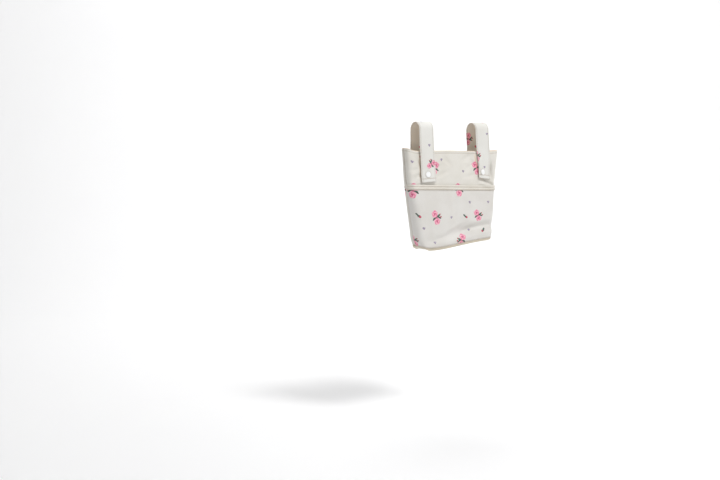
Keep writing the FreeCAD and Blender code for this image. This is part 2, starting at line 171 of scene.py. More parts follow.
def front_relief(x, drop):
    """How far the front stands out of its plain shape: belly, dents, folds and creases."""
    mouth_sag = -2.4 * hump(x, 0, 42) * hump(drop, 0, 30)
    left_snap = -1.0 * hump(x, -72, 15) * hump(drop, 48, 17)
    # the right strap's snap presses the front in, and the cloth beside it bags out
    right_dent = -7.6 * hump(x, 87, 16) * hump(drop, 44, 24)
    right_bag = 4.0 * hump(x, 103, 6) * hump(drop, 57, 14)
    # a long valley crosses the pocket, with a shelf under it that stands out over the base board
    rightward = smooth(-50, 50, x) * smooth(108, 86, x)
    valley = -(3.2 + 5.0 * rightward) * crease(x, drop, (-84, 188), (124, 164), 11.0)
    valley = valley * smooth(116, 88, x)
    shelf_line = 190.0 - 0.115 * (x + 60.0)
    shelf = (3.0 + 2.8 * rightward) * smooth(-6, 13, drop - shelf_line) * smooth(-92, -35, x)
    shelf = shelf * smooth(112, 88, x)
    foot_tuck = -1.8 * smooth(192, 206, drop) * smooth(-70, 40, x)
    right_turn = -1.5 * smooth(58, 114, x) * smooth(14, 60, drop)
    dents = mouth_sag + left_snap + right_dent + right_bag + right_turn + valley + shelf + foot_tuck
    return swell(x, drop, 2.2) + dents + folds(x, drop, FRONT_FOLDS) + undulation(x, drop, 0.4)


def back_relief(x, drop):
    mouth_sag = -1.8 * hump(x, 4, 46) * hump(drop, 0, 34)
    # the cloth lies quiet under the straps' sewn tails
    quiet = 1 - 0.8 * (hump(x, -STRAP_X, 24) + hump(x, STRAP_X, 24)) * smooth(60, 30, drop)
    waves = undulation(x, drop, 2.6) * quiet
    return swell(x, drop, 1.6) + mouth_sag + folds(x, drop, BACK_FOLDS) + waves


def drift(x, drop):
    """Sideways and upward shift of the fabric, the same on front and back."""
    narrowed = 0.65 * smooth(56, 96, drop) + 0.6 * smooth(150, 206, drop)
    right = 4.2 * smooth(30, 112, x) * (1 - narrowed)
    left = 10.0 * smooth(-60, -108, x) * smooth(60, 200, drop)
    rounded = 1 - np.sqrt(1 - np.clip((drop - 180.0) / 27.0, 0, 0.995) ** 2)
    left = left + 12.5 * rounded * smooth(-62, -100, x)
    corner = 6.2 * hump(x, -122, 15) * smooth(70, 0, drop)
    sag = 1.2 * hump(x, -8, 60) * smooth(50, 0, drop) + 2.4 * hump(x, 122, 22) * smooth(60, 0, drop)
    tilt = (3.6 - 0.026 * x) * hump(drop, 80, 44)
    lift = 15.5 * smooth(-74, 96, x) * smooth(112, 206, drop)
    left_corner = 5.0 * (np.clip(-x - 66.0, 0, None) / 34.0) ** 2.2 * smooth(168, 206, drop)
    right_corner = 3.0 * (np.clip(x - 70.0, 0, None) / 30.0) ** 2 * smooth(186, 206, drop)
    return right + left, corner + sag + tilt + lift + left_corner + right_corner


def half_perimeter(drop):
    depth = half_depth(drop)
    return 2 * (half_width(drop) - depth) + math.pi * depth


def arc_place(t, drop):
    """Distance along the section from the middle of the front or back, in millimetres."""
    around = np.where(t > 1, 2 - t, t)
    return around * half_perimeter(drop) / 2


def shell(t, drop, offset):
    """Points at an outward offset from the shell, as an array of (x, y, z)."""
    t, drop, offset = np.broadcast_arrays(*(np.asarray(a, float) for a in (t, drop, offset)))
    depth = half_depth(drop)
    run = half_width(drop) - depth
    place = arc_place(t, drop)
    angle = np.clip(np.abs(place) - run, 0, None) / depth
    side = np.sign(place)
    facing = np.where(t > 1, 1.0, -1.0)
    normal_x = side * np.sin(angle)
    normal_y = facing * np.cos(angle)
    # the section is a little squarer than a stadium, so the sides read as narrow edges
    square_x = np.sign(normal_x) * np.abs(normal_x) ** (2 / SQUARENESS)
    square_y = np.sign(normal_y) * np.abs(normal_y) ** (2 / SQUARENESS)
    x = np.where(angle > 0, side * run + depth * square_x, place)
    y = SEAM_Y + depth * square_y
    flatness = np.cos(np.clip(angle, 0, math.pi / 2)) ** 1.5
    relief = np.where(t > 1, back_relief(x, drop), front_relief(x, drop)) * flatness
    seam = -1.5 * np.exp(-(((math.pi / 2 - angle) * depth / 1.8) ** 2))
    out = offset + relief + seam
    shift_x, shift_z = drift(x, drop)
    return np.stack(
        [x + normal_x * out + shift_x, y + normal_y * out, MOUTH_Z - drop + shift_z], axis=-1
    )


def front_t(x, drop):
    """The t of a front point given by its undeformed x, on the flat of the front."""
    return x / (half_perimeter(drop) / 2)


# ---- mesh building
def add_object(name, data):
    made = bpy.data.objects.new(name, data)
    bpy.context.scene.collection.objects.link(made)
    return made


def make_object(name, points, faces, uvs, material, marks=None):
    """Mesh piece from points in millimetres, with one UV in metres for each point.

    marks gives each point its painted shade, which darkens it, and its painted warm shading.
    """
    mesh = bpy.data.meshes.new(name)
    mesh.from_pydata([tuple(p) for p in np.asarray(points) * MM], [], faces)
    mesh.update()
    layer = mesh.uv_layers.new(name="cut")
    corners = np.zeros(len(mesh.loops), dtype=np.int32)
    mesh.loops.foreach_get("vertex_index", corners)
    layer.data.foreach_set("uv", np.asarray(uvs, float)[corners].ravel())
    marks = np.zeros((len(points), 2)) if marks is None else np.asarray(marks, float)
    mesh.uv_layers.new(name="marks").data.foreach_set("uv", marks[corners].ravel())
    mesh.polygons.foreach_set("use_smooth", [True] * len(mesh.polygons))
    mesh.materials.append(material)
    return add_object(name, mesh)


def face_outward(piece, merge=0.0):
    """Turns all faces outward, after joining points that are within merge millimetres."""
    work = bmesh.new()
    work.from_mesh(piece.data)
    if merge:
        bmesh.ops.remove_doubles(work, verts=work.verts, dist=merge * MM)
    bmesh.ops.recalc_face_normals(work, faces=work.faces)
    work.to_mesh(piece.data)
    work.free()


def grid_faces(rows, columns, start=0, flip=False, wrap_rows=False, wrap_columns=False):
    """Quads of a grid of points stored row by row."""
    faces = []
    for row in range(rows if wrap_rows else rows - 1):
        for column in range(columns if wrap_columns else columns - 1):
            a = start + row * columns + column
            b = start + row * columns + (column + 1) % columns
            c = start + ((row + 1) % rows) * columns + (column + 1) % columns
            d = start + ((row + 1) % rows) * columns + column
            faces.append((a, d, c, b) if flip else (a, b, c, d))
    return faces


def tube_faces(rings, sides, start=0):
    """Quads round a stack of rings of points, with a flat face at each end."""
    last = start + sides * (rings - 1)
    ends = [tuple(range(start + sides - 1, start - 1, -1)), tuple(range(last, last + sides))]
    return grid_faces(rings, sides, start, wrap_columns=True) + ends


def slab_faces(rows, columns):
    """Two grids of the same size, one after the other, joined round their rims into a closed slab."""
    count = rows * columns
    last = count - columns
    faces = grid_faces(rows, columns, 0, True) + grid_faces(rows, columns, count)
    for top in range(columns - 1):
        bottom = last + top
        faces.append((top, top + 1, count + top + 1, count + top))
        faces.append((bottom + 1, bottom, count + bottom, count + bottom + 1))
    for left in range(0, last, columns):
        below, right = left + columns, left + columns - 1
        faces.append((below, left, count + left, count + below))
        faces.append((right, right + columns, count + right + columns, count + right))
    return faces


def path_normals(path):
    step = np.gradient(path, axis=0)
    step /= np.linalg.norm(step, axis=1, keepdims=True)
    return np.stack([step[:, 1], -step[:, 0]], axis=1)


def spaced(path, spacing):
    """The same line with its points about spacing apart."""
    path = np.asarray(path, float)
    lengths = run_lengths(path)
    count = max(2, int(round(lengths[-1] / spacing)) + 1)
    places = np.linspace(0, lengths[-1], count)
    return np.stack([np.interp(places, lengths, path[:, k]) for k in range(path.shape[1])], axis=1)


def arc_path(centre, radius, start_degrees, end_degrees, count=9):
    angles = np.radians(np.linspace(start_degrees, end_degrees, count))
    return [(centre[0] + radius * math.cos(a), centre[1] - radius * math.sin(a)) for a in angles]


def pairs(first, second):
    """Two grids of values as one row of pairs."""
    return np.stack(np.broadcast_arrays(first, second), axis=-1).reshape(-1, 2)


def fabric_band(
    name, path, thickness, t_values, material, v_start, puff=None, lines=(), edge=None, painted_shadow=None
):
    """Strip of fabric of even thickness, its (offset, drop) path carried along t.

    The path is listed so that its outer face is on the right hand of travel. v falls along it.
    lines are (length, width, strength) of painted shade lines across the path, and edge is the
    length up to which painted warm shading of the rolled rim reaches. The last argument gives
    painted warm shadow on the path's grid.
    """
    path = np.asarray(path, float)
    normals = path_normals(path)
    lengths = run_lengths(path)
    points, uvs = [], []
    extra = 0.0 if puff is None else puff(path, t_values)
    # painted shade along the side seams, and along the lines given
    from_seam = np.abs(np.abs(t_values - np.round(t_values / 2) * 2) - 1) * HALF_MOUTH
    painted_shade = 0.75 * hump(from_seam, 0.0, 1.0)[None, :] + 0 * lengths[:, None]
    for place, width, strength in lines:
        painted_shade = np.maximum(painted_shade, strength * hump(lengths, place, width)[:, None])
    # painted warm shading of the rolled mouth edge, up to edge
    warm_shading = np.zeros_like(painted_shade)
    if edge is not None:
        warm_shading = warm_shading + smooth(edge + 1.2, edge - 0.6, lengths)[:, None]
    # painted warm shadow beside the straps: warm tint, and dark at its middle
    if painted_shadow is not None:
        shadow = painted_shadow(path, t_values)
        warm_shading = np.maximum(warm_shading, shadow)
        painted_shade = np.maximum(painted_shade, 0.38 * shadow ** 2)
    marks = np.concatenate([pairs(painted_shade, warm_shading)] * 2)
    t = t_values[None, :]
    for side in (0.5, -0.5):
        skin = path + normals * thickness * side
        offset, drop = skin[:, 0][:, None] + extra, skin[:, 1][:, None]
        points.append(shell(t, drop, offset).reshape(-1, 3))
        across = arc_place(t, np.clip(drop, 0, None))
        uvs.append(pairs(across, v_start - lengths[:, None]) * MM)
    faces = slab_faces(len(path), len(t_values))
    return make_object(name, np.concatenate(points), faces, np.concatenate(uvs), material, marks)


def stitches(name, spots, length=2.5, width=0.5, height=0.42):
    """Sewing thread seen as short raised stitches, one at each (point, direction, normal) spot."""
    rings = ((-0.5, 0.25), (-0.34, 0.85), (0.0, 1.0), (0.34, 0.85), (0.5, 0.25))
    turns = full_turn(6)
    points, faces, uvs = [], [], []
    for centre, along, normal in spots:
        along = unit(along)
        normal = unit(normal - along * (normal @ along))
        across = np.cross(along, normal)
        start = len(points)
        for place, size in rings:
            for turn in turns:
                sine = math.sin(turn)
                spoke = across * math.cos(turn) * width / 2 * size + normal * sine * height / 2 * size
                points.append(centre + along * place * length + spoke)
                uvs.append((place * length * MM, sine * width * MM))
        faces += tube_faces(len(rings), len(turns), start)
    return make_object(name, points, faces, uvs, thread)


# ---- material helpers
class Shader:
    """Thin helper for building one node tree."""

    def __init__(self, tree):
        self.tree = tree

    def node(self, kind, settings=None, **inputs):
        made = self.tree.nodes.new(kind)
        for key, value in (settings or {}).items():
            setattr(made, key, value)
        for key, value in inputs.items():
            self.plug(made, key.replace("_", " "), value)
        return made

    def plug(self, node, key, value):
        numbered = key[:1] == "i" and key[1:].isdigit()
        socket = node.inputs[int(key[1:]) if numbered else key]
        if isinstance(value, bpy.types.NodeSocket):
            self.tree.links.new(value, socket)
        else:
            socket.default_value = value

    def times(self, first, second):
        return self.math("MULTIPLY", first, second)

    def math(self, operation, first, second=0.0, third=0.0):
        made = self.node("ShaderNodeMath", {"operation": operation}, i0=first, i1=second, i2=third)
        return made.outputs[0]

    def vector(self, operation, first, second=(0, 0, 0), third=(0, 0, 0)):
        settings = {"operation": operation}
        made = self.node("ShaderNodeVectorMath", settings, i0=first, i1=second, i2=third)
        return made.outputs["Value"] if operation == "LENGTH" else made.outputs["Vector"]

    def noise(self, vector, scale, detail=3.0, roughness=0.55):
        settings = {"Vector": vector, "Scale": scale, "Detail": detail, "Roughness": roughness}
        return self.node("ShaderNodeTexNoise", **settings).outputs["Fac"]

    def ramp(self, value, low, high, out_low=0.0, out_high=1.0):
        settings = {"interpolation_type": "SMOOTHSTEP"}
        limits = {"i1": low, "i2": high, "i3": out_low, "i4": out_high}
        return self.node("ShaderNodeMapRange", settings, i0=value, **limits).outputs["Result"]

    def mix(self, factor, first, second, blend="MIX"):
        settings = {"data_type": "RGBA", "blend_type": blend}
        return self.node("ShaderNodeMix", settings, i0=factor, i6=first, i7=second).outputs[2]

    def mix_vector(self, factor, first, second):
        settings = {"data_type": "VECTOR"}
        return self.node("ShaderNodeMix", settings, i0=factor, i4=first, i5=second).outputs[1]

    def mapping(self, vector, degrees, scale, location=(0, 0, 0), kind="POINT"):
        inputs = {"Location": location, "Rotation": (0, 0, math.radians(degrees)), "Scale": scale}
        made = self.node("ShaderNodeMapping", {"vector_type": kind}, Vector=vector, **inputs)
        return made.outputs[0]

    def ellipse(self, vector, centre, radii, degrees=0.0, soft=0.22):
        """1 inside an ellipse whose centre and radii are in millimetres, 0 outside."""
        scale = (radii[0] * MM, radii[1] * MM, 1)
        placed = self.mapping(vector, degrees, scale, (centre[0] * MM, centre[1] * MM, 0), "TEXTURE")
        reach = self.vector("LENGTH", placed)
        return self.ramp(reach, 1.0 + soft / 2, 1.0 - soft / 2)


PINK_DEEP = (0.56, 0.055, 0.17, 1)
PINK_MID = (0.78, 0.20, 0.34, 1)
PINK_PALE = (0.90, 0.50, 0.58, 1)
LEAF_DARK = (0.028, 0.062, 0.045, 1)
LEAF_MID = (0.065, 0.125, 0.085, 1)
BUD_RED = (0.46, 0.018, 0.055, 1)
BUD_LIGHT = (0.72, 0.08, 0.16, 1)
LILAC = (0.30, 0.25, 0.335, 1)
LILAC_PALE = (0.46, 0.41, 0.49, 1)

# The print repeats over this width and height, in millimetres.
REPEAT = (224.0, 231.0)
# Where the sprays, the small flowers and the buds stand on the cut cloth, with -1 where one is
# mirrored. A spray is two roses with leaves and buds between them.
PRINT_POCKET = (
    [
        (-51.5, -138.5, 1), (59, -140, 1), (-104, -87, -1), (12, -83.5, -1), (12, -195.5, -1),
        (-113, -188, 1),
    ],
    [
        (38, -110, 1), (88, -110, 1), (-12, -140.5, -1), (-86, -159.5, 1), (38.5, -176, -1),
        (-54.5, -191, 1),
    ],
    [(-96, -134, 1), (25.5, -140.5, 1), (70.5, -180.5, -1)],
)
PRINT_BODY = (
    [(-49, -37, -1), (60, -36, 1), (6, -84, -1), (-106, -85, -1), (-49, -150, 1), (60, -152, 1)],
    [(-106, -24, 1), (-31.5, -18.5, -1), (24, -43.5, 1), (92, -128, 1), (-20, -120, 1)],
    [(-83, -9, -1), (30, -118, 1)],
)
PRINT_LEFT_STRAP = (
    [(8, 37, 1), (84, 216, 1), (-4, 168, -1)],
    [(5.5, 76, 1), (70, 120, -1), (-6, 130, 1)],
    [(-8, 205, 1), (84, 196, -1)],
)
PRINT_RIGHT_STRAP = (
    [(-20, 53, 1), (63, 171, 1), (6, 168, -1)],
    [(0, 24.5, 1), (12, 96, -1), (78, 120, 1)],
    [(8, 128, 1), (84, 190, -1)],
)
# Ellipses of each motif: centre, radii, turn in degrees and colour.
SPRAY_LEAVES = [
    ((5.6, 3.4), (5.2, 1.9), 28, LEAF_MID), ((7.6, -0.6), (4.6, 1.7), -24, LEAF_DARK),
    ((-3.4, -1.8), (4.8, 2.0), 12, LEAF_MID), ((-6.6, -4.0), (3.4, 1.4), 40, LEAF_DARK),
    ((1.4, 0.2), (3.2, 2.0), -60, LEAF_DARK), ((11.4, 0.8), (1.9, 1.4), 20, BUD_RED),
    ((9.2, 5.8), (1.5, 1.2), 60, BUD_RED),
]
SPRAY_ROSES = [(-4.0, 6.6, 1), (1.8, -7.8, -1)]
BUD_SHAPES = [
    ((-3.4, 2.4), (3.8, 1.5), -38, LEAF_DARK), ((-1.6, 0.2), (3.3, 1.7), -58, LEAF_MID),
    ((2.1, -1.9), (3.3, 2.3), -40, BUD_RED), ((2.7, -1.8), (1.9, 0.9), -40, BUD_LIGHT),
    ((-0.3, -0.3), (2.2, 1.5), -30, LEAF_DARK),
]
SMALL_FLOWER_SHAPES = [
    ((-1.5, 0.9), (1.9, 1.5), 35, LILAC), ((1.5, 0.9), (1.9, 1.5), -35, LILAC_PALE),
    ((0.0, -1.0), (1.9, 1.5), 90, LILAC),
]


def nearest(kit, place, centres, repeats=True):
    """Place measured from the nearest of some (x, y, mirror) centres."""
    best, best_reach = None, None
    for x, y, mirror in centres:
        local = kit.vector("SUBTRACT", place, (x * MM, y * MM, 0))
        if repeats:
            half = (REPEAT[0] / 2 * MM, REPEAT[1] / 2 * MM, 1)
            local = kit.vector("WRAP", local, half, tuple(-size for size in half))
        reach = kit.vector("LENGTH", local)
        if mirror < 0:
            local = kit.vector("MULTIPLY", local, (-1, 1, 1))
        if best is None:
            best, best_reach = local, reach
            continue
        closer = kit.math("LESS_THAN", reach, best_reach)
        best = kit.mix_vector(closer, best, local)
        best_reach = kit.math("MINIMUM", reach, best_reach)
    return best


def lay_shapes(kit, place, shapes, colour):
    for centre, radii, degrees, tint in shapes:
        colour = kit.mix(kit.ellipse(place, centre, radii, degrees, 0.3), colour, tint)
    return colour


def lay_rose(kit, place, colour, radius=7.1):
    """Round five-petalled rose with a curled, deeper centre."""
    axes = kit.node("ShaderNodeSeparateXYZ", Vector=place)
    turn = kit.math("ARCTAN2", axes.outputs[1], axes.outputs[0])
    reach = kit.times(kit.vector("LENGTH", place), 1 / MM)
    lobes = kit.math("SINE", kit.times(turn, 5.0))
    edge_shade = kit.math("MULTIPLY_ADD", lobes, -0.55, reach)
    curl = kit.math("SINE", kit.math("MULTIPLY_ADD", reach, 1.15, kit.times(turn, 3.0)))
    petals = kit.mix(kit.ramp(curl, -0.7, 0.9), PINK_MID, PINK_PALE)
    petals = kit.mix(kit.ramp(reach, 3.6, 1.0, 0.0, 0.85), petals, PINK_DEEP)
    petals = kit.mix(kit.ramp(edge_shade, radius - 1.4, radius, 0.0, 0.5), petals, PINK_MID)
    return kit.mix(kit.ramp(edge_shade, radius + 0.3, radius - 0.3), colour, petals)


def lay_print(kit, place, layout, base, degrees=0.0, size=1.0):
    """Repeating flower print over the base colour, each spray turned by some degrees and sized."""
    sprays, small_flowers, buds = (nearest(kit, place, centres) for centres in layout)
    colour = lay_shapes(kit, small_flowers, SMALL_FLOWER_SHAPES, base)
    colour = lay_shapes(kit, buds, BUD_SHAPES, colour)
    spray = kit.mapping(sprays, -degrees, (1 / size, 1 / size, 1))
    colour = lay_shapes(kit, spray, SPRAY_LEAVES, colour)
    return lay_rose(kit, nearest(kit, spray, SPRAY_ROSES, False), colour)


def weave_height(kit, place, pitch, degrees=0.0):
    """Plain weave: threads of a pitch in millimetres that pass over and under each other."""
    rate = math.pi / (pitch * MM)
    axes = kit.node("ShaderNodeSeparateXYZ", Vector=kit.mapping(place, degrees, (rate, rate, rate)))
    warp = kit.math("ABSOLUTE", kit.math("SINE", axes.outputs[0]))
    weft = kit.math("ABSOLUTE", kit.math("SINE", axes.outputs[1]))
    across, down = (kit.math("COSINE", axes.outputs[index]) for index in (0, 1))
    over = kit.ramp(kit.times(across, down), -0.4, 0.4)
    under = kit.times(weft, kit.math("SUBTRACT", 1.0, over))
    return kit.math("ADD", kit.times(warp, over), under)


# painted shade: a dark brown laid into seams, grooves, under edges and beside the straps
PAINTED_SHADE_TINT = (0.28, 0.185, 0.115, 1)
# multiplier for painted warm shading: the rolled mouth edge, the straps' inner faces and the shadow
# beside the straps
WARM_SHADING_TINT = (1.1, 0.93, 0.76, 1)


def new_material(name):
    """A material with its node helper and its shader."""
    material = bpy.data.materials.new(name)
    material.use_nodes = True
    return material, Shader(material.node_tree), material.node_tree.nodes["Principled BSDF"]


def darker(colour, share):
    return tuple(channel * share for channel in colour[:3]) + (1,)


def cloth_material(
    name, base, shade, layout=None, spray_turn=0.0, spray_size=1.0, pitch=0.42, degrees=0.0,
    bump=0.10, rough=(0.50, 0.66), sheen=0.12,
):
    """Woven cloth, with the flower print where a layout is given."""
    material, kit, surface = new_material(name)
    flat = kit.node("ShaderNodeUVMap", {"uv_map": "cut"}).outputs[0]
    body = kit.node("ShaderNodeTexCoord").outputs["Object"]
    cloud = kit.noise(body, 22.0, 4.0)
    fleck = kit.noise(body, 420.0, 2.0, 0.7)
    colour = kit.mix(kit.ramp(cloud, 0.32, 0.72), base, shade)
    colour = kit.mix(kit.ramp(fleck, 0.55, 0.85, 0.0, 0.16), colour, darker(shade, 0.78))
    if layout:
        wobble = kit.node("ShaderNodeTexNoise", Vector=flat, Scale=520.0, Detail=2.0).outputs["Color"]
        wobble = kit.vector("SUBTRACT", wobble, (0.5, 0.5, 0.5))
        wobble = kit.vector("MULTIPLY", wobble, (1.5 * MM, 1.5 * MM, 0))
        place = kit.vector("ADD", flat, wobble)
        colour = lay_print(kit, place, layout, colour, spray_turn, spray_size)
    # the marks carry painted shade first and painted warm shading second
    marks = kit.node("ShaderNodeUVMap", {"uv_map": "marks"}).outputs[0]
    marks = kit.node("ShaderNodeSeparateXYZ", Vector=marks)
    uneven = kit.ramp(kit.noise(body, 260.0, 2.0), 0.2, 0.8, 0.55, 1.0)
    warm_shading = kit.times(marks.outputs[1], kit.times(uneven, 0.9))
    painted_shade = kit.times(marks.outputs[0], kit.times(uneven, 0.75))
    colour = kit.mix(warm_shading, colour, WARM_SHADING_TINT, "MULTIPLY")
    colour = kit.mix(painted_shade, colour, PAINTED_SHADE_TINT)
    threads = weave_height(kit, flat, pitch, degrees)
    # painted shade in the low spots between the weave's threads
    colour = kit.mix(kit.ramp(threads, 0.0, 1.0, 0.10, 0.0), colour, darker(shade, 0.6))
    kit.plug(surface, "Base Color", colour)
    kit.plug(surface, "Roughness", kit.ramp(cloud, 0.25, 0.75, rough[0], rough[1]))
    kit.plug(surface, "Sheen Weight", sheen)
    crinkle = kit.noise(body, 95.0, 4.0, 0.6)
    height = kit.math("ADD", kit.times(threads, 0.35), kit.times(crinkle, 1.4))
    relief = kit.node("ShaderNodeBump", Height=height, Strength=bump, Distance=0.0012)
    kit.plug(surface, "Normal", relief.outputs[0])
    return material


def plastic_material(name, base, shade, rough):
    material, kit, surface = new_material(name)
    body = kit.node("ShaderNodeTexCoord").outputs["Object"]
    cloud = kit.noise(body, 180.0, 3.0)
    scuff = kit.noise(body, 900.0, 3.0, 0.7)
    kit.plug(surface, "Base Color", kit.mix(kit.ramp(cloud, 0.35, 0.75), base, shade))
    kit.plug(surface, "Roughness", kit.ramp(scuff, 0.4, 0.8, rough, rough + 0.14))
    kit.plug(surface, "Coat Weight", 0.25)
    kit.plug(surface, "Coat Roughness", 0.12)
    relief = kit.node("ShaderNodeBump", Height=scuff, Strength=0.05, Distance=0.0004)
    kit.plug(surface, "Normal", relief.outputs[0])
    return material


CREAM = (0.76, 0.735, 0.68, 1)
CREAM_SHADE = (0.71, 0.68, 0.615, 1)
POCKET_CREAM = (0.735, 0.715, 0.68, 1)
POCKET_SHADE = (0.685, 0.66, 0.62, 1)
# the straps' cream is a lighter copy of the body's: painted light
STRAP_CREAM = (0.775, 0.765, 0.725, 1)
STRAP_SHADE = (0.73, 0.715, 0.67, 1)
pocket_print = cloth_material("pocket_print", POCKET_CREAM, POCKET_SHADE, PRINT_POCKET)
front_print = cloth_material("front_print", CREAM, CREAM_SHADE, PRINT_BODY)
back_print = cloth_material("back_print", CREAM, CREAM_SHADE, PRINT_BODY)
strap_prints = {
    side_name: cloth_material(f"{side_name}_strap_print", STRAP_CREAM, STRAP_SHADE, *layout)
    for side_name, layout in (
        ("left", (PRINT_LEFT_STRAP, 90, 0.8)), ("right", (PRINT_RIGHT_STRAP, -12, 0.9)),
    )
}
plain_cloth = cloth_material("plain_cloth", (0.74, 0.705, 0.635, 1), (0.68, 0.645, 0.57, 1))
lining_cloth = cloth_material(
    "lining_cloth", (0.62, 0.54, 0.43, 1), (0.56, 0.48, 0.37, 1), pitch=0.5, bump=0.16,
    rough=(0.7, 0.85),
)
piping_cloth = cloth_material(
    "piping_cloth", (0.63, 0.56, 0.44, 1), (0.56, 0.49, 0.38, 1), degrees=45
)
wadding = cloth_material(
    "wadding", (0.80, 0.80, 0.78, 1), (0.72, 0.72, 0.70, 1), pitch=1.6, bump=0.4, rough=(0.85, 0.95)
)
board = cloth_material(
    "board", (0.52, 0.46, 0.36, 1), (0.46, 0.40, 0.31, 1), pitch=2.4, bump=0.06, rough=(0.75, 0.9),
    sheen=0.0,
)
thread = cloth_material(
    "thread", (0.52, 0.43, 0.32, 1), (0.42, 0.34, 0.25, 1), pitch=0.22, degrees=35, bump=0.5,
    rough=(0.45, 0.6),
)
snap_plastic = plastic_material("snap_plastic", (0.94, 0.94, 0.94, 1), (0.90, 0.90, 0.895, 1), 0.16)

# ---- body panels
# closer together near the side seams, so that the seams are crisp
SEAM_STEPS = np.array([0.0, 0.4, 0.8, 1.3, 1.9, 2.6, 3.4, 4.4]) / HALF_MOUTH
FRONT_T = np.concatenate([SEAM_STEPS - 1, np.linspace(-0.95, 0.95, 131), (1 - SEAM_STEPS)[::-1]])
BACK_T = FRONT_T + 2
ROLL = 1.0
ROLL_CENTRE = (-1.4, 1.4)


def panel_path():
    """From just inside the mouth, over the rolled edge and down the outside to the base seam."""
    inside = [(ROLL_CENTRE[0] - ROLL, 3.2), (ROLL_CENTRE[0] - ROLL, 2.2)]
    over = arc_path(ROLL_CENTRE, ROLL, 180, 0, 9)
    hem = [(-0.4, drop) for drop in np.arange(2.2, 9.0, 0.8)]
    down = spaced([(-0.4, 9.8), (-0.4, PIPING_DROP)], 1.8)
    return np.array(inside + over + hem + [tuple(p) for p in down])


def straight_path(offset, top, bottom, spacing=3.0):
    return spaced([(offset, top), (offset, bottom)], spacing)


def declare(piece, node, body="bag"):
    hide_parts(node)
    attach(piece, body)


def strap_shadow(path, t_values):
    """Painted warm shadow on the front beside the straps' left edges, where they stand off it."""
    drop = path[:, 1][:, None]
    x = arc_place(t_values[None, :], drop)
    left = 0.9 * hump(x, -89.2 + 0.07 * drop, 2.4)
    right = 1.0 * hump(x, 56.0 + 0.0052 * drop * drop, 3.0)
    return np.maximum(left, right) * smooth(2, 14, drop) * smooth(68, 58, drop)


PANEL_LEAD = 3.2 - 2.2 + math.pi * ROLL
for half, t_values, material in (("front", FRONT_T, front_print), ("back", BACK_T, back_print)):
    # lines: painted shade in the hem's pressed line and just above the base piping; edge: painted warm
    # shading of the roll; on the front, painted shadow beside the straps
    panel = fabric_band(
        f"{half}_panel_cloth", panel_path(), 0.8, t_values, material, PANEL_LEAD,
        lines=((PANEL_LEAD + 5.0, 0.8, 0.4), (PANEL_LEAD + 199.5, 1.2, 0.8)), edge=PANEL_LEAD + 0.6,
        painted_shadow=strap_shadow if half == "front" else None,
    )
    declare(panel, f"{half}_panel")
    # inner layers: piece, node and slot, then (offset, top, bottom, spacing), and so on
    for ending, node, slot_name, line, thickness, places, cloth, v_start in (
        ("wadding", "interlining", "interlining",
         (-1.4, 2.8, 200.5), 1.1, t_values[::2], wadding, 0.0),
        ("facing_cloth", "facing", "printed_fabric",
         (-2.4, 3.3, 25.0, 1.5), 0.75, t_values, material, -3.3),
        ("lining_cloth", "lining", "lining_fabric",
         (-2.3, 24.2, 200.0, 2.5), 0.5, t_values, lining_cloth, -24.2),
    ):
        name = f"{half}_{ending}"
        layer = fabric_band(name, straight_path(*line), thickness, places, cloth, v_start)
        declare(layer, f"{half}_{node}")


# ---- patch pocket
def pocket_puff(path, t_values):
    """The pocket stands a little off the front in the middle and lies flat at its seams."""
    drop = path[:, 1][:, None]
    t = t_values[None, :]
    middle = 1 - np.abs(t) ** 3
    hang = 1.5 * np.sin(np.pi * np.clip((drop - 70) / 132, 0, 1)) * middle
    gape = 0.9 * np.cos(t * math.pi * 2.5) * middle * hump(drop, 76, 22)
    return hang + gape


pocket_lining = fabric_band(
    "pocket_lining_cloth", straight_path(0.75, 79.0, 201.0), 0.5, FRONT_T, lining_cloth, -79.0,
    pocket_puff,
)
declare(pocket_lining, "pocket_lining")
# the lines paint shade under the band's lower edge and just above the base piping
pocket = fabric_band(
    "pocket_panel_cloth", straight_path(1.65, 77.6, PIPING_DROP, 1.8), 0.8, FRONT_T, pocket_print,
    -77.6, pocket_puff, lines=((8.4, 0.9, 0.5), (PIPING_DROP - 78.6, 1.0, 0.9)),
)
declare(pocket, "pocket_panel")

BAND_CENTRE = (1.7, POCKET_DROP + 0.2)
band_path = np.array(
    [(0.5, 83.0), (0.55, 79.0)]
    + arc_path(BAND_CENTRE, 1.15, 180, 0, 9)
    + [
        (2.95, 77.2), (2.9, 78.2), (2.45, 79.0), (2.1, 79.6), (2.2, 80.2), (2.75, 80.8), (3.15, 81.6),
        (3.2, 82.8), (3.1, 84.0), (2.9, 84.9), (2.55, 85.4),
    ]
)
# the lines paint shade in the band's groove and under its lower edge
band = fabric_band(
    "pocket_band_cloth", band_path, 0.75, FRONT_T, plain_cloth, -BAND_END, pocket_puff,
    lines=((13.2, 0.9, 0.75), (19.4, 0.7, 0.7)),
)
declare(band, "pocket_band")

# ---- base
AROUND_T = np.linspace(-1, 3, 280, endpoint=False)


def cord_around(name, centre, radius, material, count=14):
    """Round cord carried once round the bag at an (offset, drop) place."""
    rows, uvs = [], []
    for angle in full_turn(count):
        drop = centre[1] - radius * math.sin(angle)
        rows.append(shell(AROUND_T, drop, centre[0] + radius * math.cos(angle)))
        along = (AROUND_T + 1) / 2 * half_perimeter(centre[1])
        uvs.append(pairs(along, radius * angle) * MM)
    faces = grid_faces(count, len(AROUND_T), 0, True, wrap_rows=True, wrap_columns=True)
    return make_object(name, np.concatenate(rows), faces, np.concatenate(uvs), material)


piping = cord_around("base_piping_cord", (-0.4, 204.0), 2.9, piping_cloth)
declare(piping, "base_piping")


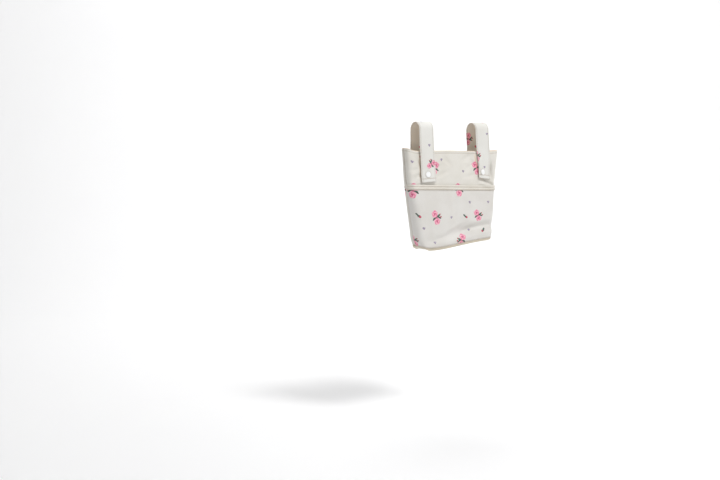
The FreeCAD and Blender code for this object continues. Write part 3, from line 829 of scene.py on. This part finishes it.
def base_slab(name, drop, thickness, inset, sag, material):
    """Flat layer that spans the bottom between the front and back, bowed down by sag."""
    shares = np.linspace(0, 1, 22)
    t = FRONT_T[None, :]
    front = shell(t, drop, -inset)[0]
    back = shell(2 - t, drop, -inset)[0]
    rows = []
    for level in (0.0, thickness):
        for share in shares:
            row = front * (1 - share) + back * share
            depth = 4 * share * (1 - share) * np.clip(1 - np.abs(FRONT_T) ** 3, 0, 1)
            row[:, 2] += level - sag * depth
            rows.append(row)
    points = np.concatenate(rows)
    faces = slab_faces(len(shares), len(FRONT_T))
    piece = make_object(name, points, faces, points[:, :2] * MM, material)
    # the layer narrows to nothing at its two ends
    face_outward(piece, 0.02)
    return piece


base_print = cloth_material("base_print", CREAM, CREAM_SHADE, PRINT_BODY)
for name, node, drop, thickness, sag, material, slot_name in (
    ("base_cloth", "base_panel", 204.6, 0.8, 1.2, base_print, "printed_fabric"),
    ("base_stiffener", "base_board", 203.6, 1.4, 1.0, board, "base_board"),
    ("base_lining_cloth", "base_lining", 202.0, 0.5, 0.8, lining_cloth, "lining_fabric"),
):
    layer = base_slab(name, drop, thickness, 2.6, sag, material)
    declare(layer, node)

# ---- straps
STRAP_R = BAR_R + STRAP_T / 2
TAIL = 38.0
BORDER = 2.9
END_HEM = 7.6
# the points of a strap's line at the bag's mouth and at the top of the bend over the bar
MOUTH_POINT = 19
CROWN_POINT = 54
RIGHTWARD = np.array([1.0, 0.0, 0.0])
EDGE_STEPS = np.array([0.0, 0.35, 0.8, 1.4, 2.2, 2.9, 3.6]) / (STRAP_W / 2)
ACROSS = np.concatenate([EDGE_STEPS - 1, np.linspace(-0.74, 0.74, 17), (1 - EDGE_STEPS)[::-1]])


def surface_normal(t, drop):
    middle = shell(t, drop, 0.0)
    right = shell(t + T_STEP, drop, 0.0) - middle
    down = shell(t, drop + 0.5, 0.0) - middle
    return middle, unit(np.cross(right, down)), unit(down)


class Strap:
    """Centre line, side direction and outward direction of one strap, by length from its sewn end."""

    def __init__(self, side, x, snap_x, snap_drop, end_length, slip, level):
        self.side, self.slip = side, slip
        on_panel, inward, down = surface_normal(front_t(snap_x, snap_drop), snap_drop)
        out = inward if inward[1] < 0 else -inward
        lateral = np.cross(down, out)
        lateral = lateral if lateral[0] > 0 else -lateral
        # the stiff snap lets the strap end follow the panel's slope only in part
        lateral = lateral * (1 - level) + RIGHTWARD * level
        lateral = unit(lateral - down * (lateral @ down))
        out = np.cross(lateral, down)
        out = out if out[1] < 0 else -out
        self.snap_normal, self.panel_point = out, on_panel
        snap = on_panel + out * (SNAP_GAP + STRAP_T / 2 + 0.1) + lateral * slip
        # up the back panel, free up to the bar's height, then over the bar
        line = [
            shell(2 - x / (half_perimeter(drop) / 2), drop, STRAP_T / 2 + 0.25)
            for drop in np.linspace(TAIL, 0, MOUTH_POINT + 1)
        ]
        top = line[-1]
        for share in np.linspace(0.05, 1, 20):
            ease = smooth(0, 1, share)
            y = top[1] + (STRAP_R - top[1]) * ease
            line.append(np.array([top[0] + (x - top[0]) * ease, y, MOUTH_Z * (1 - share)]))
        for angle in np.radians(np.linspace(6, 180, 30)):
            line.append(np.array([x, STRAP_R * math.cos(angle), STRAP_R * math.sin(angle)]))
        across = [RIGHTWARD] * len(line)
        # down the front to the snap, as a Hermite curve
        start = line[-1]
        reach = abs(start[2] - snap[2])
        start_pull = np.array([0.0, -0.05, -1.0]) * reach
        end_pull = down * reach * 0.9
        for share in np.linspace(0.03, 1, 34):
            h1 = 2 * share ** 3 - 3 * share ** 2 + 1
            h2 = share ** 3 - 2 * share ** 2 + share
            h3 = 3 * share ** 2 - 2 * share ** 3
            h4 = share ** 3 - share ** 2
            line.append(h1 * start + h2 * start_pull + h3 * snap + h4 * end_pull)
            turn = smooth(0.25, 1.0, share)
            across.append(unit(RIGHTWARD * (1 - turn) + lateral * turn))
        for share in np.linspace(0.1, 1, 10):
            line.append(snap + down * end_length * share + out * 0.9 * share * share)
            across.append(lateral)
        self.line, self.across = np.array(line), np.array(across)
        self.lengths = run_lengths(self.line)
        self.total = self.lengths[-1]
        self.mouth_length = self.lengths[MOUTH_POINT]
        self.split_length = self.lengths[CROWN_POINT]
        self.snap_length = self.total - end_length
        # sign that turns the normal away from the handlebar
        self.outward = 1.0
        normal = self.at(self.mouth_length + 10)[2]
        self.outward = 1.0 if normal[1] > 0 else -1.0

    def at(self, length):
        """Centre points, side directions, outward normals and headings at lengths along the strap."""
        length = np.asarray(length, float)

        def pick(values, where):
            return np.stack([np.interp(where, self.lengths, values[:, k]) for k in range(3)], axis=-1)

        centre = pick(self.line, length)
        side = pick(self.across, length)
        ahead = pick(self.line, length + 0.8) - pick(self.line, length - 0.8)
        ahead /= np.linalg.norm(ahead, axis=-1, keepdims=True)
        normal = np.cross(side, ahead)
        normal /= np.linalg.norm(normal, axis=-1, keepdims=True)
        return centre, np.cross(ahead, normal), normal * self.outward, ahead

    def from_snap(self, length, across):
        return np.hypot(length - self.snap_length, across * STRAP_W / 2 + self.slip)


def strap_relief(strap, length, across, face):
    """Height of one face: rounded edges, stitched-down borders, a folded end and soft waves."""
    half = STRAP_T / 2
    edge = np.clip(1 - np.abs(across) ** 12, 0, 1) ** 0.5
    border = 0.22 * hump(np.abs(across) * STRAP_W / 2, STRAP_W / 2 - BORDER, 0.8)
    puff = 0.18 * np.cos(across * math.pi / 2)
    hem = 0.35 * smooth(strap.total - 9.0, strap.total - 7.5, length)
    groove = 0.22 * hump(length, strap.total - END_HEM, 0.9)
    wave = 0.14 * np.sin(length / 8.5 + 1.3 * strap.side + across * 1.6)
    pressed = 0.5 * hump(strap.from_snap(length, across), 6.6, 1.6)
    return (half + puff + hem - border - groove - pressed) * edge + face * wave


def strap_piece(name, strap, start, end, material):
    half = STRAP_W / 2
    count = max(4, int(round((end - start) / 1.8)) + 1)
    lengths = np.linspace(start, end, count)
    centre, side, normal, _ = strap.at(lengths)
    bow = 0.5 * np.sin(lengths / 14.0 + strap.side)[:, None] * (ACROSS[None, :] ** 2)
    flare = 1 + 0.05 * smooth(strap.snap_length - 30.0, strap.total, lengths)
    # painted shade lines: along the rim, in the border's topstitching groove, in the end's hem
    # fold and in a ring round the cap
    edge_shade = hump(np.abs(ACROSS) * half, half, 0.75)[None, :]
    border = 0.3 * hump(np.abs(ACROSS) * half, 15.1, 0.8)[None, :]
    fold = 0.8 * hump(lengths, strap.total - END_HEM, 0.7)[:, None]
    ring = 0.42 * hump(strap.from_snap(lengths[:, None], ACROSS[None, :]), 6.9, 1.1)
    lines = np.maximum(np.maximum(border, fold), ring)
    points, uvs, marks = [], [], []
    # the inner face shows another stretch of the print, fuller painted shade along its edges
    # and painted warm light over the whole face
    for face, shift, edge_shade_share, warm_shading in ((1.0, 0.0, 0.75, 0.0), (-1.0, 76.0, 1.0, 0.8)):
        rise = strap_relief(strap, lengths[:, None], ACROSS[None, :], face) * face + bow * 0.4
        spread = side[:, None, :] * (ACROSS[None, :, None] * half) * flare[:, None, None]
        grid = centre[:, None, :] + spread + normal[:, None, :] * rise[..., None]
        points.append(grid.reshape(-1, 3))
        uvs.append(pairs(ACROSS[None, :] * half + shift, strap.total - lengths[:, None]) * MM)
        marks.append(pairs(np.maximum(lines, edge_shade_share * edge_shade), warm_shading))
    faces = slab_faces(count, len(ACROSS))
    uvs, marks = np.concatenate(uvs), np.concatenate(marks)
    piece = make_object(name, np.concatenate(points), faces, uvs, material, marks)
    face_outward(piece)
    # the cut ends are flat, so that two lengths of one strap meet without a shading line
    for polygon in piece.data.polygons:
        rows = {vertex % (count * len(ACROSS)) // len(ACROSS) for vertex in polygon.vertices}
        polygon.use_smooth = rows not in ({0}, {count - 1})
    return piece


STITCH_STEP = 3.3


def strap_stitches(name, strap, start, end, tail_box=False, end_hem=False):
    """Topstitching down both borders of a strap, on both faces."""
    half = STRAP_W / 2
    low = start + (3.0 if tail_box else 0.8)
    high = end - (3.0 if end_hem else 0.8)
    rows = [start + 3.0, strap.mouth_length - 4.0] if tail_box else []
    rows += [end - END_HEM] if end_hem else []
    sides = (BORDER - half, half - BORDER)
    borders = [(down, place) for place in sides for down in np.arange(low, high, STITCH_STEP)]
    crossing = [(down, place) for down in rows for place in np.arange(-13.4, 13.5, STITCH_STEP)]
    spots = []
    for face in (1.0, -1.0):
        for index, (length, place) in enumerate(borders + crossing):
            centre, side, normal, ahead = strap.at(length)
            rise = strap_relief(strap, length, place / half, face) + 0.05
            point = centre + side * place + normal * face * rise
            spots.append((point, ahead if index < len(borders) else side, normal * face))
    return stitches(name, spots)


# ---- snaps
def turned_part(name, outline, centre, axis, segments=40):
    """Round moulded part: an outline of (radius, height) pairs turned about an axis."""
    axis = unit(axis)
    first = unit(np.cross(axis, (0.0, 0.0, 1.0)))
    second = np.cross(axis, first)
    rows, uvs = [], []
    for radius, height in outline:
        for angle in full_turn(segments):
            spoke = first * math.cos(angle) + second * math.sin(angle)
            rows.append(centre + axis * height + spoke * max(radius, 0.01))
            uvs.append((angle * radius * MM, height * MM))
    piece = make_object(name, rows, tube_faces(len(outline), segments), uvs, snap_plastic)
    face_outward(piece)
    return piece


CAP_OUTLINE = [
    (0.9, -2.2), (1.0, 0.0), (5.3, 0.0), (5.8, 0.2), (6.0, 0.6), (5.95, 1.0), (5.7, 1.35), (5.3, 1.5),
    (4.9, 1.42), (4.5, 1.4), (3.6, 1.62), (2.6, 1.85), (1.6, 1.98), (0.8, 2.03), (0.0, 2.05),
]
SOCKET_OUTLINE = [
    (1.2, 0.0), (4.6, 0.0), (5.0, 0.3), (5.0, 0.9), (4.4, 1.3), (3.9, 1.9), (3.5, 2.0), (3.0, 1.95),
    (2.6, 1.7), (2.4, 1.2), (2.4, 0.5), (1.2, 0.5),
]
STUD_OUTLINE = [
    (1.0, 0.0), (4.7, 0.0), (5.0, 0.2), (5.0, 0.5), (4.6, 0.7), (2.0, 0.7), (1.5, 0.95), (1.45, 1.15),
    (1.7, 1.4), (1.7, 1.65), (1.4, 1.9), (0.7, 1.9),
]
STUD_CAP_OUTLINE = [
    (0.9, -3.4), (1.0, 0.0), (5.4, 0.0), (5.85, 0.2), (6.0, 0.5), (5.8, 0.85), (5.2, 1.05), (4.6, 1.0),
    (3.0, 1.22), (1.4, 1.36), (0.0, 1.4),
]

straps = {
    "left": Strap(0.0, -STRAP_X, -69.5, 52.0, 16.0, 2.0, 0.6),
    "right": Strap(1.0, STRAP_X - 1.8, 73.5, 46.0, 13.5, 6.5, 0.45),
}
for side_name, strap in straps.items():
    material = strap_prints[side_name]
    loop_body, front_body = f"{side_name}_loop", f"{side_name}_front"
    back_ends, over_ends = (0.0, strap.split_length), (strap.split_length, strap.total)
    back_name, over_name = f"{side_name}_strap_back", f"{side_name}_strap_over"
    tail = strap_piece(back_name, strap, *back_ends, material)
    leg = strap_piece(over_name, strap, *over_ends, material)
    tail_thread = strap_stitches(f"{back_name}_stitches", strap, *back_ends, tail_box=True)
    leg_thread = strap_stitches(f"{over_name}_stitches", strap, *over_ends, end_hem=True)
    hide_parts(f"{side_name}_strap_tail", f"{side_name}_strap_loop")
    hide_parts(f"{side_name}_strap_front")
    for piece in (tail, tail_thread):
        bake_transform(piece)
    for piece in (leg, leg_thread):
        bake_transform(piece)
    # snap parts: outline, distance out from the panel, way it faces, body
    for part, outline, out, facing, body in (
        ("cap", CAP_OUTLINE, SNAP_GAP + STRAP_T + 0.2, 1, front_body),
        ("socket", SOCKET_OUTLINE, SNAP_GAP + 0.1, -1, front_body),
        ("stud", STUD_OUTLINE, 0.0, 1, "bag"),
        ("stud_cap", STUD_CAP_OUTLINE, -2.6, -1, "bag"),
    ):
        centre, axis = strap.panel_point + strap.snap_normal * out, strap.snap_normal * facing
        name = f"{side_name}_snap_{part}"
        moulded = turned_part(f"{name}_moulded", outline, centre, axis)
        declare(moulded, name, body)


# ---- stitching on the bag
def line_stitches(name, t_low, t_high, drop, offset, puff=None):
    """A row of stitches along the bag at one drop."""
    spots = []
    length = (t_high - t_low) * half_perimeter(drop) / 2
    for t in np.linspace(t_low, t_high, int(length / STITCH_STEP))[1:-1]:
        extra = 0.0 if puff is None else float(puff(np.array([[offset, drop]]), np.array([t]))[0, 0])
        here = shell(t, drop, offset + extra)
        along = shell(t + T_STEP, drop, offset + extra) - here
        out = shell(t, drop, offset + extra + 1.0) - here
        spots.append((here, along, out))
    return stitches(name, spots)


for name, t_low, t_high, drop, offset, puff in (
    ("front_hem_stitches", -1, 1, 5.4, 0.08, None),
    ("back_hem_stitches", 1, 3, 5.4, 0.08, None),
    ("pocket_band_stitches", -1, 1, 83.6, 3.5, pocket_puff),
):
    row = line_stitches(name, t_low, t_high, drop, offset, puff)
    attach(row, "bag")

# ---- cut sizes of the cloth
TAILS = ("left_strap_tail", "right_strap_tail")
# piece, cut width and length in metres, share of that kept, held, what it hangs from or lies on
CUTS = tuple(
    (f"{half}_{ending}", width, length, share, "hung", TAILS if above is None else (f"{half}_{above}",))
    for ending, width, length, share, above in (
        ("panel_cloth", 0.262, 0.212, 0.93, None), ("wadding", 0.255, 0.198, 0.95, "panel"),
        ("facing_cloth", 0.255, 0.022, 1.0, "panel"), ("lining_cloth", 0.252, 0.176, 0.95, "facing"),
    )
    for half in ("front", "back")
) + (
    ("pocket_lining_cloth", 0.246, 0.123, 0.96, "hung", ("pocket_band",)),
    ("pocket_panel_cloth", 0.246, 0.124, 0.96, "hung", ("pocket_band",)),
    ("pocket_band_cloth", 0.246, 0.022, 1.0, "folded", ("front_panel",)),
    ("base_cloth", 0.195, 0.041, 0.96, "stretched", ("base_piping",)),
    ("base_lining_cloth", 0.195, 0.041, 0.96, "laid", ("base_board",)),
)
for name, width, length, share, held, under in CUTS:
    cloth = bpy.data.objects[name]

# ---- floor, light and camera
FLOOR_Z = -0.62
floor_mesh = bpy.data.meshes.new("studio_floor")
# a round floor that curves up into a wall on every side
WALL_R, WALL_BEND, WALL_H, WALL_PARTS = 6.0, 1.2, 3.4, 96
WALL_CENTRE = (-1.68, -2.73)
sweep = [(0.6, 0.0), (WALL_R - WALL_BEND, 0.0)]
sweep += [
    (WALL_R - WALL_BEND + WALL_BEND * math.sin(a), WALL_BEND - WALL_BEND * math.cos(a))
    for a in np.linspace(0.1, math.pi / 2, 12)
]
sweep += [(WALL_R, WALL_H)]
floor_points = [
    (WALL_CENTRE[0] + radius * math.cos(a), WALL_CENTRE[1] + radius * math.sin(a), FLOOR_Z + up)
    for radius, up in sweep for a in full_turn(WALL_PARTS)
]
floor_faces = [tuple(range(WALL_PARTS))]
floor_faces += grid_faces(len(sweep), WALL_PARTS, 0, True, wrap_columns=True)
floor_mesh.from_pydata(floor_points, [], floor_faces)
floor_mesh.polygons.foreach_set("use_smooth", [True] * len(floor_mesh.polygons))
floor = add_object("studio_floor", floor_mesh)
floor_material, paper, paper_surface = new_material("studio_paper")
paper_place = paper.node("ShaderNodeTexCoord").outputs["Object"]
paper_cloud = paper.noise(paper_place, 3.0, 3.0)
paper_colour = paper.mix(paper_cloud, (0.96, 0.96, 0.96, 1), (0.94, 0.94, 0.945, 1))
paper.plug(paper_surface, "Base Color", paper_colour)
paper.plug(paper_surface, "Roughness", 0.9)
floor_mesh.materials.append(floor_material)


def area_light(name, place, target, size, power):
    data = bpy.data.lights.new(name, "AREA")
    data.shape = "DISK"
    data.size = size
    data.energy = power
    light = add_object(name, data)
    light.location = place
    light.rotation_euler = (Vector(target) - Vector(place)).to_track_quat("-Z", "Y").to_euler()


BAG_MIDDLE = (0.0, 0.0, -0.12)
area_light("key", (0.5, -1.7, 2.3), BAG_MIDDLE, 0.7, 51.5)
area_light("fill", (-1.0, -2.4, 0.4), BAG_MIDDLE, 1.8, 7)
area_light("top", (0.5, 0.8, 2.2), (0.4, 0.9, -0.3), 1.4, 16)
area_light("back", (0.6, 1.0, 1.6), (1.4, 2.4, -0.1), 1.4, 16)

world = bpy.data.worlds.new("studio")
world.use_nodes = True
background = world.node_tree.nodes["Background"]
background.inputs["Color"].default_value = (1.0, 1.0, 1.0, 1)
background.inputs["Strength"].default_value = 0.37
bpy.context.scene.world = world
bpy.context.scene.view_settings.view_transform = "Standard"

camera_data = bpy.data.cameras.new("camera")
camera_data.sensor_width = 36.0
camera_data.lens = 47.5
camera_data.clip_start = 0.01
camera_data.clip_end = 50.0
camera = add_object("camera", camera_data)
camera.location = (-1.222, -1.621, -0.048)
yaw, pitch = math.radians(31.6), math.radians(5.23)
aim = Vector((math.sin(yaw) * math.cos(pitch), math.cos(yaw) * math.cos(pitch), -math.sin(pitch)))
camera.rotation_euler = aim.to_track_quat("-Z", "Y").to_euler()
bpy.context.scene.camera = camera
